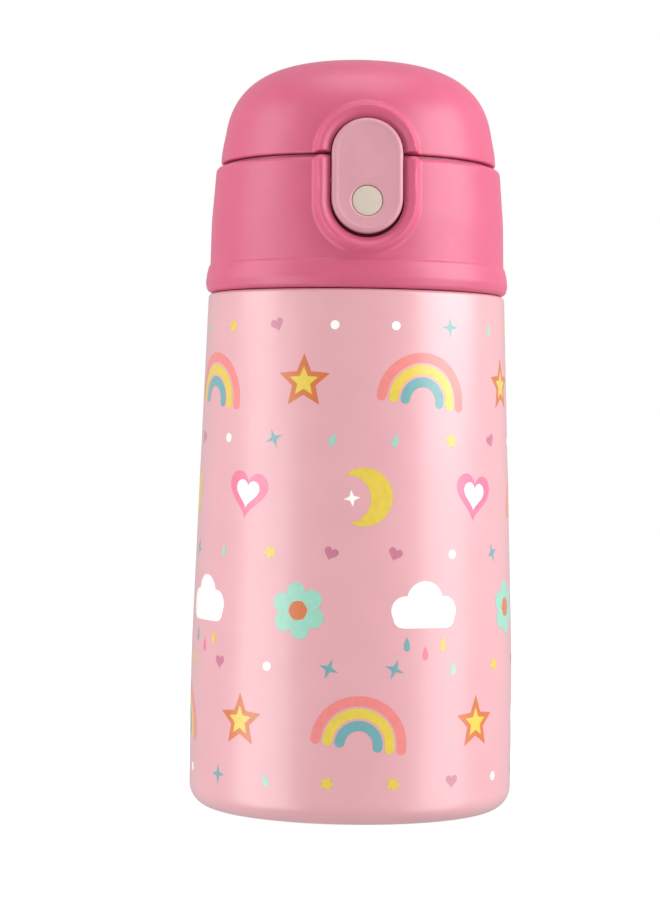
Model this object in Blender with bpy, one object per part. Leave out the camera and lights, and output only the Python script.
"""A child's vacuum-insulated water bottle with a one-touch flip lid.

The bottle stands on the plane z = 0 with its axis along Z. The lid's push button faces -Y and its hinge is
at +Y. A double-walled steel flask carries a screw lid; the lid carries a rocking push button and a domed
cover that flips open over a soft mouthpiece. Dimensions are in millimetres, scaled to metres as meshes are
made.
"""

import math

import bmesh
import bpy
from mathutils import Vector

MM = 0.001
GAP = 0.3  # left between pieces that touch

# ---- flask ----
BASE_RADIUS = 37.0
BODY_TOP_RADIUS = 34.1
TAPER_BOTTOM = 34.0  # the body is straight below this height
BODY_TOP = 117.6
FOOT_CORNER = 5.1
SHOULDER_CORNER = 1.2
STEEL = 0.6
LINER_STEEL = 0.5
VACUUM_GAP = 4.0
FOOT_INNER_RADIUS = 30.4
LINER_BOTTOM = 7.0
NECK_RADIUS = 23.5
NECK_TOP = 134.0
LINER_NECK_RADIUS = 22.6

# ---- screw thread between neck and lid ----
THREAD_PITCH = 4.0
THREAD_DEPTH = 1.2
THREAD_BASE_WIDTH = 1.6
THREAD_CREST_WIDTH = 0.8
NECK_THREAD_START = 122.5
THREAD_STEPS_A_TURN = 36

# ---- lid ----
FLANGE_RADIUS = 34.8
FLANGE_BOTTOM = 117.7
FLANGE_TOP = 124.2
COLLAR_BOTTOM_RADIUS = 33.8
COLLAR_MIDDLE_RADIUS = 33.6
COLLAR_TOP_RADIUS = 32.6
COLLAR_TOP = 146.6
COLLAR_WALL = 1.8
LEDGE_THICKNESS = 3.0
WELL_RADIUS = 25.5
CORE_RADIUS = 26.4
CORE_BORE = 25.1
CORE_BOTTOM = 120.2
DECK_TOP = 139.0
DECK_THICKNESS = 2.0
DECK_HOLE_RADIUS = 5.2
VENT_Y = 13.5
VENT_HOLE_RADIUS = 1.7
STRAW_RADIUS = 3.5
STRAW_BORE = 2.5
STRAW_BOTTOM = 10.5
MOUTHPIECE_TOP = 160.3

# ---- cover ----
COVER_RADIUS = 31.6
COVER_BOTTOM = 147.4
COVER_TOP = 171.0
COVER_WALL = 1.8
DOME_EXPONENT = 2.85
DOME_TAPER = 0.022  # how much the dome narrows over the lowest third of its height
PLUG_RADIUS = 24.7
PLUG_WALL = 1.6
LINER_CEILING = 161.9

# ---- button, in its own tilted frame: x across, y into the lid, z up its face ----
BUTTON_TILT = math.radians(6.8)
BUTTON_FACE_CENTRE = (0.0, -33.17, 142.4)
BUTTON_HALF_WIDTH = 7.85
BUTTON_HALF_HEIGHT = 12.85
BUTTON_FRONT = -0.5
BUTTON_BACK = 1.9
POCKET_CLEARANCE = 0.6
COLLAR_POCKET_DEPTH = 5.6
COVER_POCKET_DEPTH = 4.4
POCKET_WALL = 1.2
BOSS_HALF_WIDTH = 11.5
BOSS_HALF_HEIGHT = 16.0
BUTTON_PIN_DEPTH = 3.6
BUTTON_PIN_HEIGHT = -0.5
BUTTON_PIN_RADIUS = 0.75
BUTTON_SPRING_HEIGHT = -6.5
BUTTON_SPRING_RADIUS = 2.0
DOT_HEIGHT = -5.7
DOT_RADIUS = 3.35
LATCH_HEIGHT = 9.1  # underside of the button's hook
LATCH_REACH = 3.0  # depth of the hook's nose
LATCH_CLEARANCE = 0.15

# ---- hinge ----
HINGE_Y = 33.6
HINGE_Z = 147.0
HINGE_PIN_RADIUS = 1.0
HINGE_BORE_RADIUS = 1.2
BARREL_RADIUS = 3.2
BARREL_CLEARANCE_RADIUS = 3.6
EAR_X = (6.4, 10.4)  # the lid's two outer knuckles
KNUCKLE_X = (2.9, 6.0)  # the cover's two inner knuckles

ROUND = 36  # facets round the flask and lid
SMALL_ROUND = 20  # facets round pins, valves and the straw


# ---------------------------------------------------------------- helpers


def clear_scene():
    for obj in list(bpy.data.objects):
        bpy.data.objects.remove(obj)


def material(name, colour, roughness, metallic=0.0):
    made = bpy.data.materials.new(name)
    made.use_nodes = True
    shader = made.node_tree.nodes["Principled BSDF"]
    shader.inputs["Base Color"].default_value = (*colour, 1.0)
    shader.inputs["Roughness"].default_value = roughness
    shader.inputs["Metallic"].default_value = metallic
    return made


def empty(name, place, parent=None, tilt=0.0):
    made = bpy.data.objects.new(name, None)
    made.location = Vector(place) * MM
    made.rotation_euler = (tilt, 0.0, 0.0)
    made.parent = parent
    bpy.context.scene.collection.objects.link(made)
    return made


def finished(name, bm, mat, parent=None, place=(0.0, 0.0, 0.0)):
    """Turns a bmesh drawn in millimetres into a named object."""
    bmesh.ops.scale(bm, vec=(MM, MM, MM), verts=bm.verts)
    bmesh.ops.recalc_face_normals(bm, faces=bm.faces)
    mesh = bpy.data.meshes.new(name)
    bm.to_mesh(mesh)
    bm.free()
    mesh.shade_smooth()
    mesh.set_sharp_from_angle(angle=math.radians(32))
    made = bpy.data.objects.new(name, mesh)
    made.location = Vector(place) * MM
    made.parent = parent
    if mat:
        made.data.materials.append(mat)
    bpy.context.scene.collection.objects.link(made)
    return made


def arc(centre, radius, start, end, steps):
    """Points of an arc; angles in degrees from the +r direction towards +z."""
    turns = [math.radians(start + (end - start) * i / steps) for i in range(steps + 1)]
    return [(centre[0] + radius * math.cos(a), centre[1] + radius * math.sin(a)) for a in turns]


def thickened(path, thickness):
    """The closed outline of a wall that lies to the left of a path of (r, z) points."""
    points = [Vector(p) for p in path]
    steps = [(b - a).normalized() for a, b in zip(points, points[1:])]
    inner = []
    for i, point in enumerate(points):
        before = steps[max(i - 1, 0)]
        after = steps[min(i, len(steps) - 1)]
        left = Vector((-before.y - after.y, before.x + after.x)).normalized()
        reach = thickness / left.dot(Vector((-before.y, before.x)))
        inner.append(point + left * reach)
    inner = [Vector((max(p.x, 0.0), p.y)) for p in inner]
    return [tuple(p) for p in points] + [tuple(p) for p in reversed(inner)]


def turned(name, outline, mat, facets=ROUND, parent=None, place=(0.0, 0.0, 0.0)):
    """A solid of revolution about Z from a closed outline of (r, z) points."""
    bm = bmesh.new()
    verts = [bm.verts.new((r, 0.0, z)) for r, z in outline]
    edges = []
    for a, b in zip(verts, verts[1:] + verts[:1]):
        if a.co.x > 0.0 or b.co.x > 0.0:
            edges.append(bm.edges.new((a, b)))
    bmesh.ops.spin(
        bm,
        geom=verts + edges,
        cent=(0.0, 0.0, 0.0),
        axis=(0.0, 0.0, 1.0),
        angle=math.tau,
        steps=facets,
        use_merge=True,
    )
    bmesh.ops.remove_doubles(bm, verts=bm.verts, dist=1e-4)
    return finished(name, bm, mat, parent, place)


def prism(name, outline, near, far, mat=None, parent=None, axis="y", place=(0.0, 0.0, 0.0)):
    """An outline extruded along y (points are x, z) or along x (points are y, z)."""
    bm = bmesh.new()
    if axis == "y":
        verts = [bm.verts.new((a, near, b)) for a, b in outline]
        step = Vector((0.0, far - near, 0.0))
    else:
        verts = [bm.verts.new((near, a, b)) for a, b in outline]
        step = Vector((far - near, 0.0, 0.0))
    face = bm.faces.new(verts)
    extruded = bmesh.ops.extrude_face_region(bm, geom=[face])["geom"]
    moved = [v for v in extruded if isinstance(v, bmesh.types.BMVert)]
    bmesh.ops.translate(bm, vec=step, verts=moved)
    return finished(name, bm, mat, parent, place)


def box(name, low, high, mat=None, parent=None, place=(0.0, 0.0, 0.0)):
    corners = [(low[0], low[2]), (high[0], low[2]), (high[0], high[2]), (low[0], high[2])]
    return prism(name, corners, low[1], high[1], mat, parent, place=place)


def stadium(half_width, half_height, steps=8):
    """An upright outline with straight sides and half-round ends, as (x, z) points."""
    rise = half_height - half_width
    return arc((0.0, rise), half_width, 0, 180, steps) + arc((0.0, -rise), half_width, 180, 360, steps)


def circle(radius, centre, facets):
    turns = [math.tau * i / facets for i in range(facets)]
    return [(centre[0] + radius * math.cos(a), centre[1] + radius * math.sin(a)) for a in turns]


def rod(name, radius, span, centre, mat=None, parent=None, facets=16, place=(0.0, 0.0, 0.0)):
    """A cylinder along x over a span, its centre given as (y, z)."""
    return prism(name, circle(radius, centre, facets), span[0], span[1], mat, parent, "x", place)


def ridge(name, root_radius, crest_radius, start, turns):
    """A helical thread ridge that fades out at both ends. start is (angle in turns, height)."""
    bm = bmesh.new()
    rings = []
    steps = round(turns * THREAD_STEPS_A_TURN)
    for i in range(steps + 1):
        share = i / THREAD_STEPS_A_TURN
        fade = min(1.0, (i + 0.4) / 3, (steps - i + 0.4) / 3)
        crest = root_radius + (crest_radius - root_radius) * fade
        height = start[1] + THREAD_PITCH * share
        turn = math.tau * (start[0] + share)
        section = [
            (root_radius, -THREAD_BASE_WIDTH / 2),
            (crest, -THREAD_CREST_WIDTH / 2),
            (crest, THREAD_CREST_WIDTH / 2),
            (root_radius, THREAD_BASE_WIDTH / 2),
        ]
        across, along = math.cos(turn), math.sin(turn)
        rings.append([bm.verts.new((r * across, r * along, height + dz)) for r, dz in section])
    for one, two in zip(rings, rings[1:]):
        for k in range(4):
            bm.faces.new((one[k], one[(k + 1) % 4], two[(k + 1) % 4], two[k]))
    bm.faces.new(rings[0])
    bm.faces.new(rings[-1])
    return helper(finished(name, bm, None))


def coil(name, points, wire_radius, mat, parent=None, place=(0.0, 0.0, 0.0)):
    """A bent wire through a list of points."""
    curve = bpy.data.curves.new(name, "CURVE")
    curve.dimensions = "3D"
    curve.bevel_depth = wire_radius * MM
    curve.bevel_resolution = 1
    curve.use_fill_caps = True
    spline = curve.splines.new("POLY")
    spline.points.add(len(points) - 1)
    for knot, point in zip(spline.points, points):
        knot.co = (*(Vector(point) * MM), 1.0)
    made = bpy.data.objects.new(name, curve)
    made.location = Vector(place) * MM
    made.parent = parent
    made.data.materials.append(mat)
    bpy.context.scene.collection.objects.link(made)
    return made


def helper(obj):
    obj.hide_render = True
    obj.display_type = "WIRE"
    return obj


def boolean(obj, other, operation):
    modifier = obj.modifiers.new(f"{operation.lower()} {other.name}", "BOOLEAN")
    modifier.operation = operation
    modifier.solver = "EXACT"
    modifier.object = helper(other)


def cut(obj, *cutters):
    for cutter in cutters:
        boolean(obj, cutter, "DIFFERENCE")


def join(obj, *others):
    for other in others:
        boolean(obj, other, "UNION")


def mirrored(span):
    return (-span[1], -span[0])


# ---------------------------------------------------------------- flask


def make_outer_shell(steel):
    """The painted outer wall, with its rounded foot, shoulder and threaded neck."""
    foot = arc((BASE_RADIUS - FOOT_CORNER, FOOT_CORNER), FOOT_CORNER, -90, 0, 4)
    top_corner = (BODY_TOP_RADIUS - SHOULDER_CORNER, BODY_TOP - SHOULDER_CORNER)
    shoulder = arc(top_corner, SHOULDER_CORNER, 0, 90, 3)
    neck = arc((NECK_RADIUS + 2.0, BODY_TOP + 2.8), 2.0, 270, 180, 3)
    taper = [(BASE_RADIUS, TAPER_BOTTOM), *shoulder]
    path = [(FOOT_INNER_RADIUS, 0.0), *foot, *taper, *neck, (NECK_RADIUS, NECK_TOP)]
    shell = turned("outer_shell", thickened(path, STEEL), steel)
    start = (0.0, NECK_THREAD_START)
    join(shell, ridge("neck_thread", NECK_RADIUS - GAP, NECK_RADIUS + THREAD_DEPTH, start, 1.0))


def make_inner_liner(steel):
    """The bare inner cup, whose lip lies on the outer wall's rim."""
    wall = BASE_RADIUS - STEEL - VACUUM_GAP
    corner = 6.0
    floor_corner = arc((wall - corner, LINER_BOTTOM + corner), corner, -90, 0, 3)
    wall_end = (wall, TAPER_BOTTOM)
    top = BODY_TOP_RADIUS - STEEL - VACUUM_GAP
    shoulder = arc((top - 4.0, 109.5), 4.0, 0, 90, 3)
    neck = [(LINER_NECK_RADIUS + 1.0, 114.6), (LINER_NECK_RADIUS, 116.6)]
    lip = [(LINER_NECK_RADIUS, NECK_TOP + GAP), (NECK_RADIUS, NECK_TOP + GAP)]
    path = [(0.0, LINER_BOTTOM), *floor_corner, wall_end, *shoulder, *neck, *lip]
    turned("inner_liner", thickened(path, LINER_STEEL), steel)


def make_base(steel, plate_steel, getter_metal):
    """The welded base pan, the getter in the vacuum above it and the plate that covers its seal."""
    pan_radius = FOOT_INNER_RADIUS - 0.5
    pan_top = 2.8
    pan = thickened([(pan_radius, GAP), (pan_radius, pan_top), (0.0, pan_top)], LINER_STEEL)
    turned("outer_base", pan, steel)
    plate_radius, plate_low, plate_high = pan_radius - 1.0, 1.2, 1.9
    rim = [(plate_radius - 0.4, plate_low), (plate_radius, plate_low + 0.3), (plate_radius, plate_high)]
    turned("base_cover", [(0.0, plate_low), *rim, (0.0, plate_high)], plate_steel)
    getter_low = pan_top + GAP
    getter = [(0.0, getter_low), (4.5, getter_low), (4.5, getter_low + 1.6), (4.0, getter_low + 2.0)]
    turned("getter", [*getter, (0.0, getter_low + 2.0)], getter_metal, SMALL_ROUND, place=(10.0, 6.0, 0.0))


# ---------------------------------------------------------------- lid


def boss_and_pocket(name, frame, depth, outer_depth, keep_low, keep_high):
    """The raised ring round the button, with its pocket's back wall, kept between two heights; and the pocket
    that is cut out of it."""
    boss_half = (BOSS_HALF_WIDTH, BOSS_HALF_HEIGHT)
    ring = prism(f"{name}_boss", stadium(*boss_half), 0.0, outer_depth, parent=frame)
    pocket_half = (BUTTON_HALF_WIDTH + POCKET_CLEARANCE, BUTTON_HALF_HEIGHT + POCKET_CLEARANCE)
    housing_half = (pocket_half[0] + POCKET_WALL, pocket_half[1] + POCKET_WALL)
    housing = prism(f"{name}_housing", stadium(*housing_half), 0.1, depth + POCKET_WALL, parent=frame)
    pocket = prism(f"{name}_pocket", stadium(*pocket_half), -6.0, depth, parent=frame)
    below = box(f"{name}_trim_low", (-30, -60, 60), (30, 0, keep_low))
    above = box(f"{name}_trim_high", (-30, -60, keep_high), (30, 0, 200))
    for solid in (ring, housing):
        cut(solid, below, above)
    return ring, housing, pocket


def make_lid_shell(plastic, button_frame):
    """The screw lid's outer moulding: flange, collar, ledge, well, button pocket and hinge ears."""
    flange = [(32.2, FLANGE_BOTTOM), (33.9, FLANGE_BOTTOM), (34.7, 118.6), (FLANGE_RADIUS, 120.2)]
    flange += [(34.4, 123.2), (33.9, FLANGE_TOP)]
    collar = [(COLLAR_BOTTOM_RADIUS, 125.4), (COLLAR_MIDDLE_RADIUS, 134.0), (COLLAR_TOP_RADIUS, 145.4)]
    collar += [(31.6, COLLAR_TOP)]
    ledge_low = COLLAR_TOP - LEDGE_THICKNESS
    well = [(WELL_RADIUS + 0.8, COLLAR_TOP), (WELL_RADIUS, 145.8), (WELL_RADIUS, DECK_TOP + GAP)]
    well_back = [(WELL_RADIUS + 1.6, DECK_TOP + GAP), (WELL_RADIUS + 1.6, ledge_low)]
    inside = [(COLLAR_TOP_RADIUS - COLLAR_WALL, ledge_low), (31.5, 136.5), (31.9, 125.4)]
    shell = turned("lid_shell", [*flange, *collar, *well, *well_back, *inside], plastic)
    depths = (COLLAR_POCKET_DEPTH, 3.2)
    ring, housing, pocket = boss_and_pocket("collar", button_frame, *depths, 60.0, COLLAR_TOP)
    join(shell, ring, housing)
    ear_front = [(30.8, 146.3), (30.8, 136.0), (32.6, 136.0)]
    ear_side = [*ear_front, (36.6, 145.4), (36.8, HINGE_Z), (HINGE_Y, HINGE_Z)]
    for number, span in enumerate((EAR_X, mirrored(EAR_X))):
        gusset = prism(f"ear_gusset_{number}", ear_side, span[0], span[1], axis="x")
        barrel = rod(f"ear_barrel_{number}", BARREL_RADIUS, span, (HINGE_Y, HINGE_Z))
        join(shell, gusset, barrel)
    notch = rod("hinge_notch", BARREL_CLEARANCE_RADIUS, (-6.2, 6.2), (HINGE_Y, HINGE_Z), facets=20)
    bore = rod("ear_bore", HINGE_BORE_RADIUS, (-12.0, 12.0), (HINGE_Y, HINGE_Z))
    pin_place = (BUTTON_PIN_DEPTH, BUTTON_PIN_HEIGHT)
    pin_radius = BUTTON_PIN_RADIUS + 0.2
    pin_hole = rod("button_pin_hole", pin_radius, (-9.7, 9.7), pin_place, parent=button_frame)
    cut(shell, pocket, notch, bore, pin_hole)


def make_lid_core(plastic):
    """The threaded insert under the lid: deck, skirt and the thread that engages the neck."""
    deck_low = DECK_TOP - DECK_THICKNESS
    outline = [
        (DECK_HOLE_RADIUS, deck_low),
        (CORE_BORE, deck_low),
        (CORE_BORE, CORE_BOTTOM + 0.4),
        (CORE_BORE + 0.4, CORE_BOTTOM),
        (CORE_RADIUS, CORE_BOTTOM),
        (CORE_RADIUS, DECK_TOP - 0.4),
        (CORE_RADIUS - 0.4, DECK_TOP),
        (DECK_HOLE_RADIUS, DECK_TOP),
    ]
    core = turned("lid_core", outline, plastic)
    first = 0.1
    start = (first, NECK_THREAD_START - THREAD_PITCH / 2 + THREAD_PITCH * first)
    join(core, ridge("lid_thread", CORE_BORE + GAP, NECK_RADIUS + 0.4, start, 0.9))
    vent = [(VENT_HOLE_RADIUS, 130.0), (VENT_HOLE_RADIUS, 150.0), (0.0, 150.0)]
    cut(core, turned("vent_hole", [(0.0, 130.0), *vent], None, SMALL_ROUND, place=(0.0, VENT_Y, 0.0)))


def make_lid_seal(silicone):
    """The ring between the steel rim and the lid's deck."""
    low = NECK_TOP + GAP + LINER_STEEL + GAP
    high = DECK_TOP - DECK_THICKNESS - GAP
    turned("lid_seal", [(21.4, low), (24.3, low), (24.3, high), (21.4, high)], silicone)


def make_drinking_parts(silicone, straw_plastic):
    """The mouthpiece gripped in the deck, the straw pushed into it and the air vent's valve."""
    deck_low = DECK_TOP - DECK_THICKNESS
    flange_low = DECK_TOP + GAP
    socket = STRAW_RADIUS + GAP
    stem = DECK_HOLE_RADIUS - GAP
    outline = [
        (STRAW_BORE, 135.0),
        (socket, 135.0),
        (socket, 127.5),
        (5.2, 127.5),
        (5.2, 134.9),
        (6.3, 134.9),
        (6.3, deck_low - GAP),
        (stem, deck_low - GAP),
        (stem, flange_low),
        (8.0, flange_low),
        (8.0, flange_low + 1.2),
        (6.6, flange_low + 2.0),
        (5.6, 155.5),
        (6.2, 157.6),
        (5.6, 159.6),
        (4.2, MOUTHPIECE_TOP),
        (STRAW_BORE, MOUTHPIECE_TOP - 0.2),
    ]
    turned("mouthpiece", outline, silicone, SMALL_ROUND)
    straw_top = 135.0 - GAP
    tube = [(STRAW_BORE, STRAW_BOTTOM), (STRAW_RADIUS, STRAW_BOTTOM), (STRAW_RADIUS, straw_top)]
    straw = turned("straw", [*tube, (STRAW_BORE, straw_top)], straw_plastic, SMALL_ROUND)
    for vertex in straw.data.vertices:
        if vertex.co.z < STRAW_BOTTOM * MM + 1e-6:
            vertex.co.z += vertex.co.y * 0.5
    valve = [
        (0.5, deck_low - GAP - 1.1),
        (2.8, deck_low - GAP - 0.7),
        (2.8, deck_low - GAP),
        (VENT_HOLE_RADIUS - GAP, deck_low - GAP),
        (VENT_HOLE_RADIUS - GAP, flange_low),
        (3.2, flange_low),
        (3.0, flange_low + 0.8),
        (0.5, flange_low + 1.1),
    ]
    turned("vent_valve", valve, silicone, 12, place=(0.0, VENT_Y, 0.0))


# ---------------------------------------------------------------- button


def make_button(plastic, dot_plastic, pin_steel, spring_steel, button_frame):
    """The rocking button with its hook, lugs and finger dot, its pin and the spring behind it."""
    pivot_place = (0.0, BUTTON_PIN_DEPTH, BUTTON_PIN_HEIGHT)
    pivot = empty("button_pivot", pivot_place, button_frame)
    back = tuple(-value for value in pivot_place)
    face = stadium(BUTTON_HALF_WIDTH, BUTTON_HALF_HEIGHT)
    button = prism("button", face, BUTTON_FRONT, BUTTON_BACK, plastic, pivot, place=back)
    bevel = button.modifiers.new("soft edge", "BEVEL")
    bevel.width = 0.7 * MM
    bevel.segments = 2
    bevel.limit_method = "ANGLE"
    bevel.angle_limit = math.radians(60)
    inside = BUTTON_BACK - 0.2
    nose = (3.6, LATCH_REACH, LATCH_HEIGHT + 1.5)
    hook = box("hook", (-3.6, inside, LATCH_HEIGHT), nose, None, pivot, back)
    post = circle(1.2, (0.0, BUTTON_SPRING_HEIGHT), 10)
    join(button, hook, prism("spring_post", post, inside, 3.2, None, pivot, place=back))
    centre = (BUTTON_PIN_DEPTH, BUTTON_PIN_HEIGHT)
    for number, span in enumerate(((4.0, 6.2), (-6.2, -4.0))):
        far_corner = (span[1], BUTTON_PIN_DEPTH, 1.1)
        web = box(f"lug_web_{number}", (span[0], inside, -2.1), far_corner, None, pivot, back)
        hub = rod(f"lug_hub_{number}", 1.75, span, centre, None, pivot, place=back)
        join(button, web, hub)
    bore = rod("lug_bore", BUTTON_PIN_RADIUS + 0.2, (-7.0, 7.0), centre, None, pivot, place=back)
    recess = circle(DOT_RADIUS + GAP, (0.0, DOT_HEIGHT), SMALL_ROUND)
    cut(button, bore, prism("dot_recess", recess, -2.0, 0.7, None, pivot, place=back))
    dot = circle(DOT_RADIUS, (0.0, DOT_HEIGHT), SMALL_ROUND)
    prism("button_dot", dot, -0.1, 0.4, dot_plastic, pivot, place=back)
    rod("button_pin", BUTTON_PIN_RADIUS, (-9.4, 9.4), centre, pin_steel, button_frame, 12)
    turns, steps, near, far = 3, 11, BUTTON_BACK + 0.55, COLLAR_POCKET_DEPTH - 0.55
    helix = []
    for i in range(turns * steps + 1):
        angle = math.tau * i / steps
        depth = near + (far - near) * i / (turns * steps)
        height = BUTTON_SPRING_HEIGHT + BUTTON_SPRING_RADIUS * math.sin(angle)
        helix.append((BUTTON_SPRING_RADIUS * math.cos(angle), depth, height))
    coil("button_spring", helix, 0.25, spring_steel, button_frame)


# ---------------------------------------------------------------- cover and hinge


def dome(radius, low, high, steps):
    """A slightly tapered superellipse from the rim (radius, low) to the crown (0, high)."""
    power = 2.0 / DOME_EXPONENT
    side = []
    for i in range(steps):
        angle = math.radians(90 * i / steps)
        share = math.sin(angle) ** power
        narrowed = 1.0 - DOME_TAPER * min(3 * share, 1.0)
        side.append((radius * narrowed * math.cos(angle) ** power, low + (high - low) * share))
    return [*side, (0.0, high)]


def make_cover_shell(plastic, hinge, button_frame):
    """The domed flip cover with its hinge knuckles, half of the button's boss and the catch under it."""
    back = (0.0, -HINGE_Y, -HINGE_Z)
    outside = dome(COVER_RADIUS, COVER_BOTTOM, COVER_TOP, 9)
    inside = dome(COVER_RADIUS - COVER_WALL, COVER_BOTTOM, COVER_TOP - COVER_WALL, 7)
    shell = turned("cover_shell", outside + inside[::-1], plastic, parent=hinge, place=back)
    depths = (COVER_POCKET_DEPTH, 4.2)
    ring, housing, pocket = boss_and_pocket("cover", button_frame, *depths, COVER_BOTTOM, 190.0)
    join(shell, ring, housing)
    web_side = [(29.9, 147.8), (HINGE_Y, 147.8), (HINGE_Y, 150.1), (29.9, 153.2)]
    for number, span in enumerate((KNUCKLE_X, mirrored(KNUCKLE_X))):
        web = prism(f"knuckle_web_{number}", web_side, span[0], span[1], axis="x")
        barrel = rod(f"knuckle_barrel_{number}", BARREL_RADIUS, span, (HINGE_Y, HINGE_Z))
        join(shell, web, barrel)
    cut(shell, pocket)
    ear_room = (EAR_X[0] - GAP, EAR_X[1] + GAP)
    for number, span in enumerate((ear_room, mirrored(ear_room))):
        cut(shell, rod(f"ear_room_{number}", BARREL_CLEARANCE_RADIUS, span, (HINGE_Y, HINGE_Z), facets=20))
    spring_room = rod("spring_room", 3.0, (-KNUCKLE_X[0], KNUCKLE_X[0]), (HINGE_Y, HINGE_Z))
    cut(shell, spring_room, rod("knuckle_bore", HINGE_BORE_RADIUS, (-12.0, 12.0), (HINGE_Y, HINGE_Z)))
    catch_top = LATCH_HEIGHT - GAP
    catch_near = (-4.0, LATCH_REACH + LATCH_CLEARANCE, catch_top - 1.4)
    catch_far = (4.0, COVER_POCKET_DEPTH + 0.3, catch_top)
    join(shell, box("catch", catch_near, catch_far, None, button_frame))


def make_cover_inside(plastic, silicone, hinge):
    """The inner moulding of the cover, its gasket on the deck and the seal over the mouthpiece."""
    back = (0.0, -HINGE_Y, -HINGE_Z)
    inner = PLUG_RADIUS - PLUG_WALL
    gasket_low = DECK_TOP + GAP
    plug_low = gasket_low + 1.6 + GAP
    top = LINER_CEILING + 1.5
    outline = [
        (inner, plug_low),
        (PLUG_RADIUS, plug_low),
        (PLUG_RADIUS, 148.4),
        (29.2, 148.4),
        (29.2, 149.8),
        (PLUG_RADIUS, 149.8),
        (PLUG_RADIUS, 157.5),
        (23.2, 161.4),
        (19.5, top),
        (0.0, top),
        (0.0, LINER_CEILING),
        (18.9, LINER_CEILING),
        (22.0, 160.3),
        (inner, 157.3),
    ]
    liner = turned("cover_liner", outline, plastic, parent=hinge, place=back)
    cut(liner, box("pocket_room", (-10.6, -40.0, 147.0), (10.6, -PLUG_RADIUS - 0.25, 159.0)))
    gasket = [(22.5, gasket_low), (24.6, gasket_low), (24.6, gasket_low + 1.6), (22.5, gasket_low + 1.6)]
    turned("cover_gasket", gasket, silicone, parent=hinge, place=back)
    pad_low, pad_high = MOUTHPIECE_TOP + GAP, LINER_CEILING - GAP
    nub = [(0.0, pad_low - 1.2), (1.4, pad_low - 1.2), (1.8, pad_low)]
    pad = [(7.6, pad_low), (8.0, pad_low + 0.3), (8.0, pad_high), (0.0, pad_high)]
    turned("cover_seal", nub + pad, silicone, SMALL_ROUND, hinge, back)


def make_hinge(pin_steel, spring_steel, hinge):
    """The hinge pin and the torsion spring wound on it."""
    rod("hinge_pin", HINGE_PIN_RADIUS, (-10.2, 10.2), (0.0, 0.0), pin_steel, hinge)
    radius, turns, steps, half = 1.95, 4, 10, 1.9
    wire = [(-half, -2.9, -0.2), (-half, -2.3, -1.0)]
    for i in range(turns * steps + 1):
        angle = math.radians(235) + math.tau * i / steps
        across = -half + 2 * half * i / (turns * steps)
        wire.append((across, radius * math.cos(angle), radius * math.sin(angle)))
    wire.append((half, 0.2, -2.6))
    coil("hinge_spring", wire, 0.32, spring_steel, hinge)


# ---------------------------------------------------------------- the bottle


def main():
    clear_scene()
    painted_steel = material("painted steel", (0.79, 0.42, 0.47), 0.35, 0.2)
    bare_steel = material("bare steel", (0.62, 0.62, 0.63), 0.28, 1.0)
    getter_metal = material("getter metal", (0.30, 0.29, 0.28), 0.6, 0.8)
    lid_pink = material("lid pink", (0.82, 0.19, 0.34), 0.35)
    inner_pink = material("inner pink", (0.86, 0.52, 0.58), 0.4)
    button_rose = material("button rose", (0.67, 0.37, 0.42), 0.4)
    dot_beige = material("dot beige", (0.61, 0.53, 0.45), 0.5)
    silicone = material("clear silicone", (0.86, 0.83, 0.80), 0.5)
    straw_plastic = material("straw plastic", (0.90, 0.84, 0.84), 0.3)

    button_frame = empty("button_frame", BUTTON_FACE_CENTRE, tilt=-BUTTON_TILT)
    hinge = empty("cover_hinge", (0.0, HINGE_Y, HINGE_Z))

    make_outer_shell(painted_steel)
    make_inner_liner(bare_steel)
    make_base(bare_steel, bare_steel, getter_metal)
    make_lid_shell(lid_pink, button_frame)
    make_lid_core(inner_pink)
    make_lid_seal(silicone)
    make_drinking_parts(silicone, straw_plastic)
    make_button(button_rose, dot_beige, bare_steel, bare_steel, button_frame)
    make_cover_shell(lid_pink, hinge, button_frame)
    make_cover_inside(inner_pink, silicone, hinge)
    make_hinge(bare_steel, bare_steel, hinge)


main()
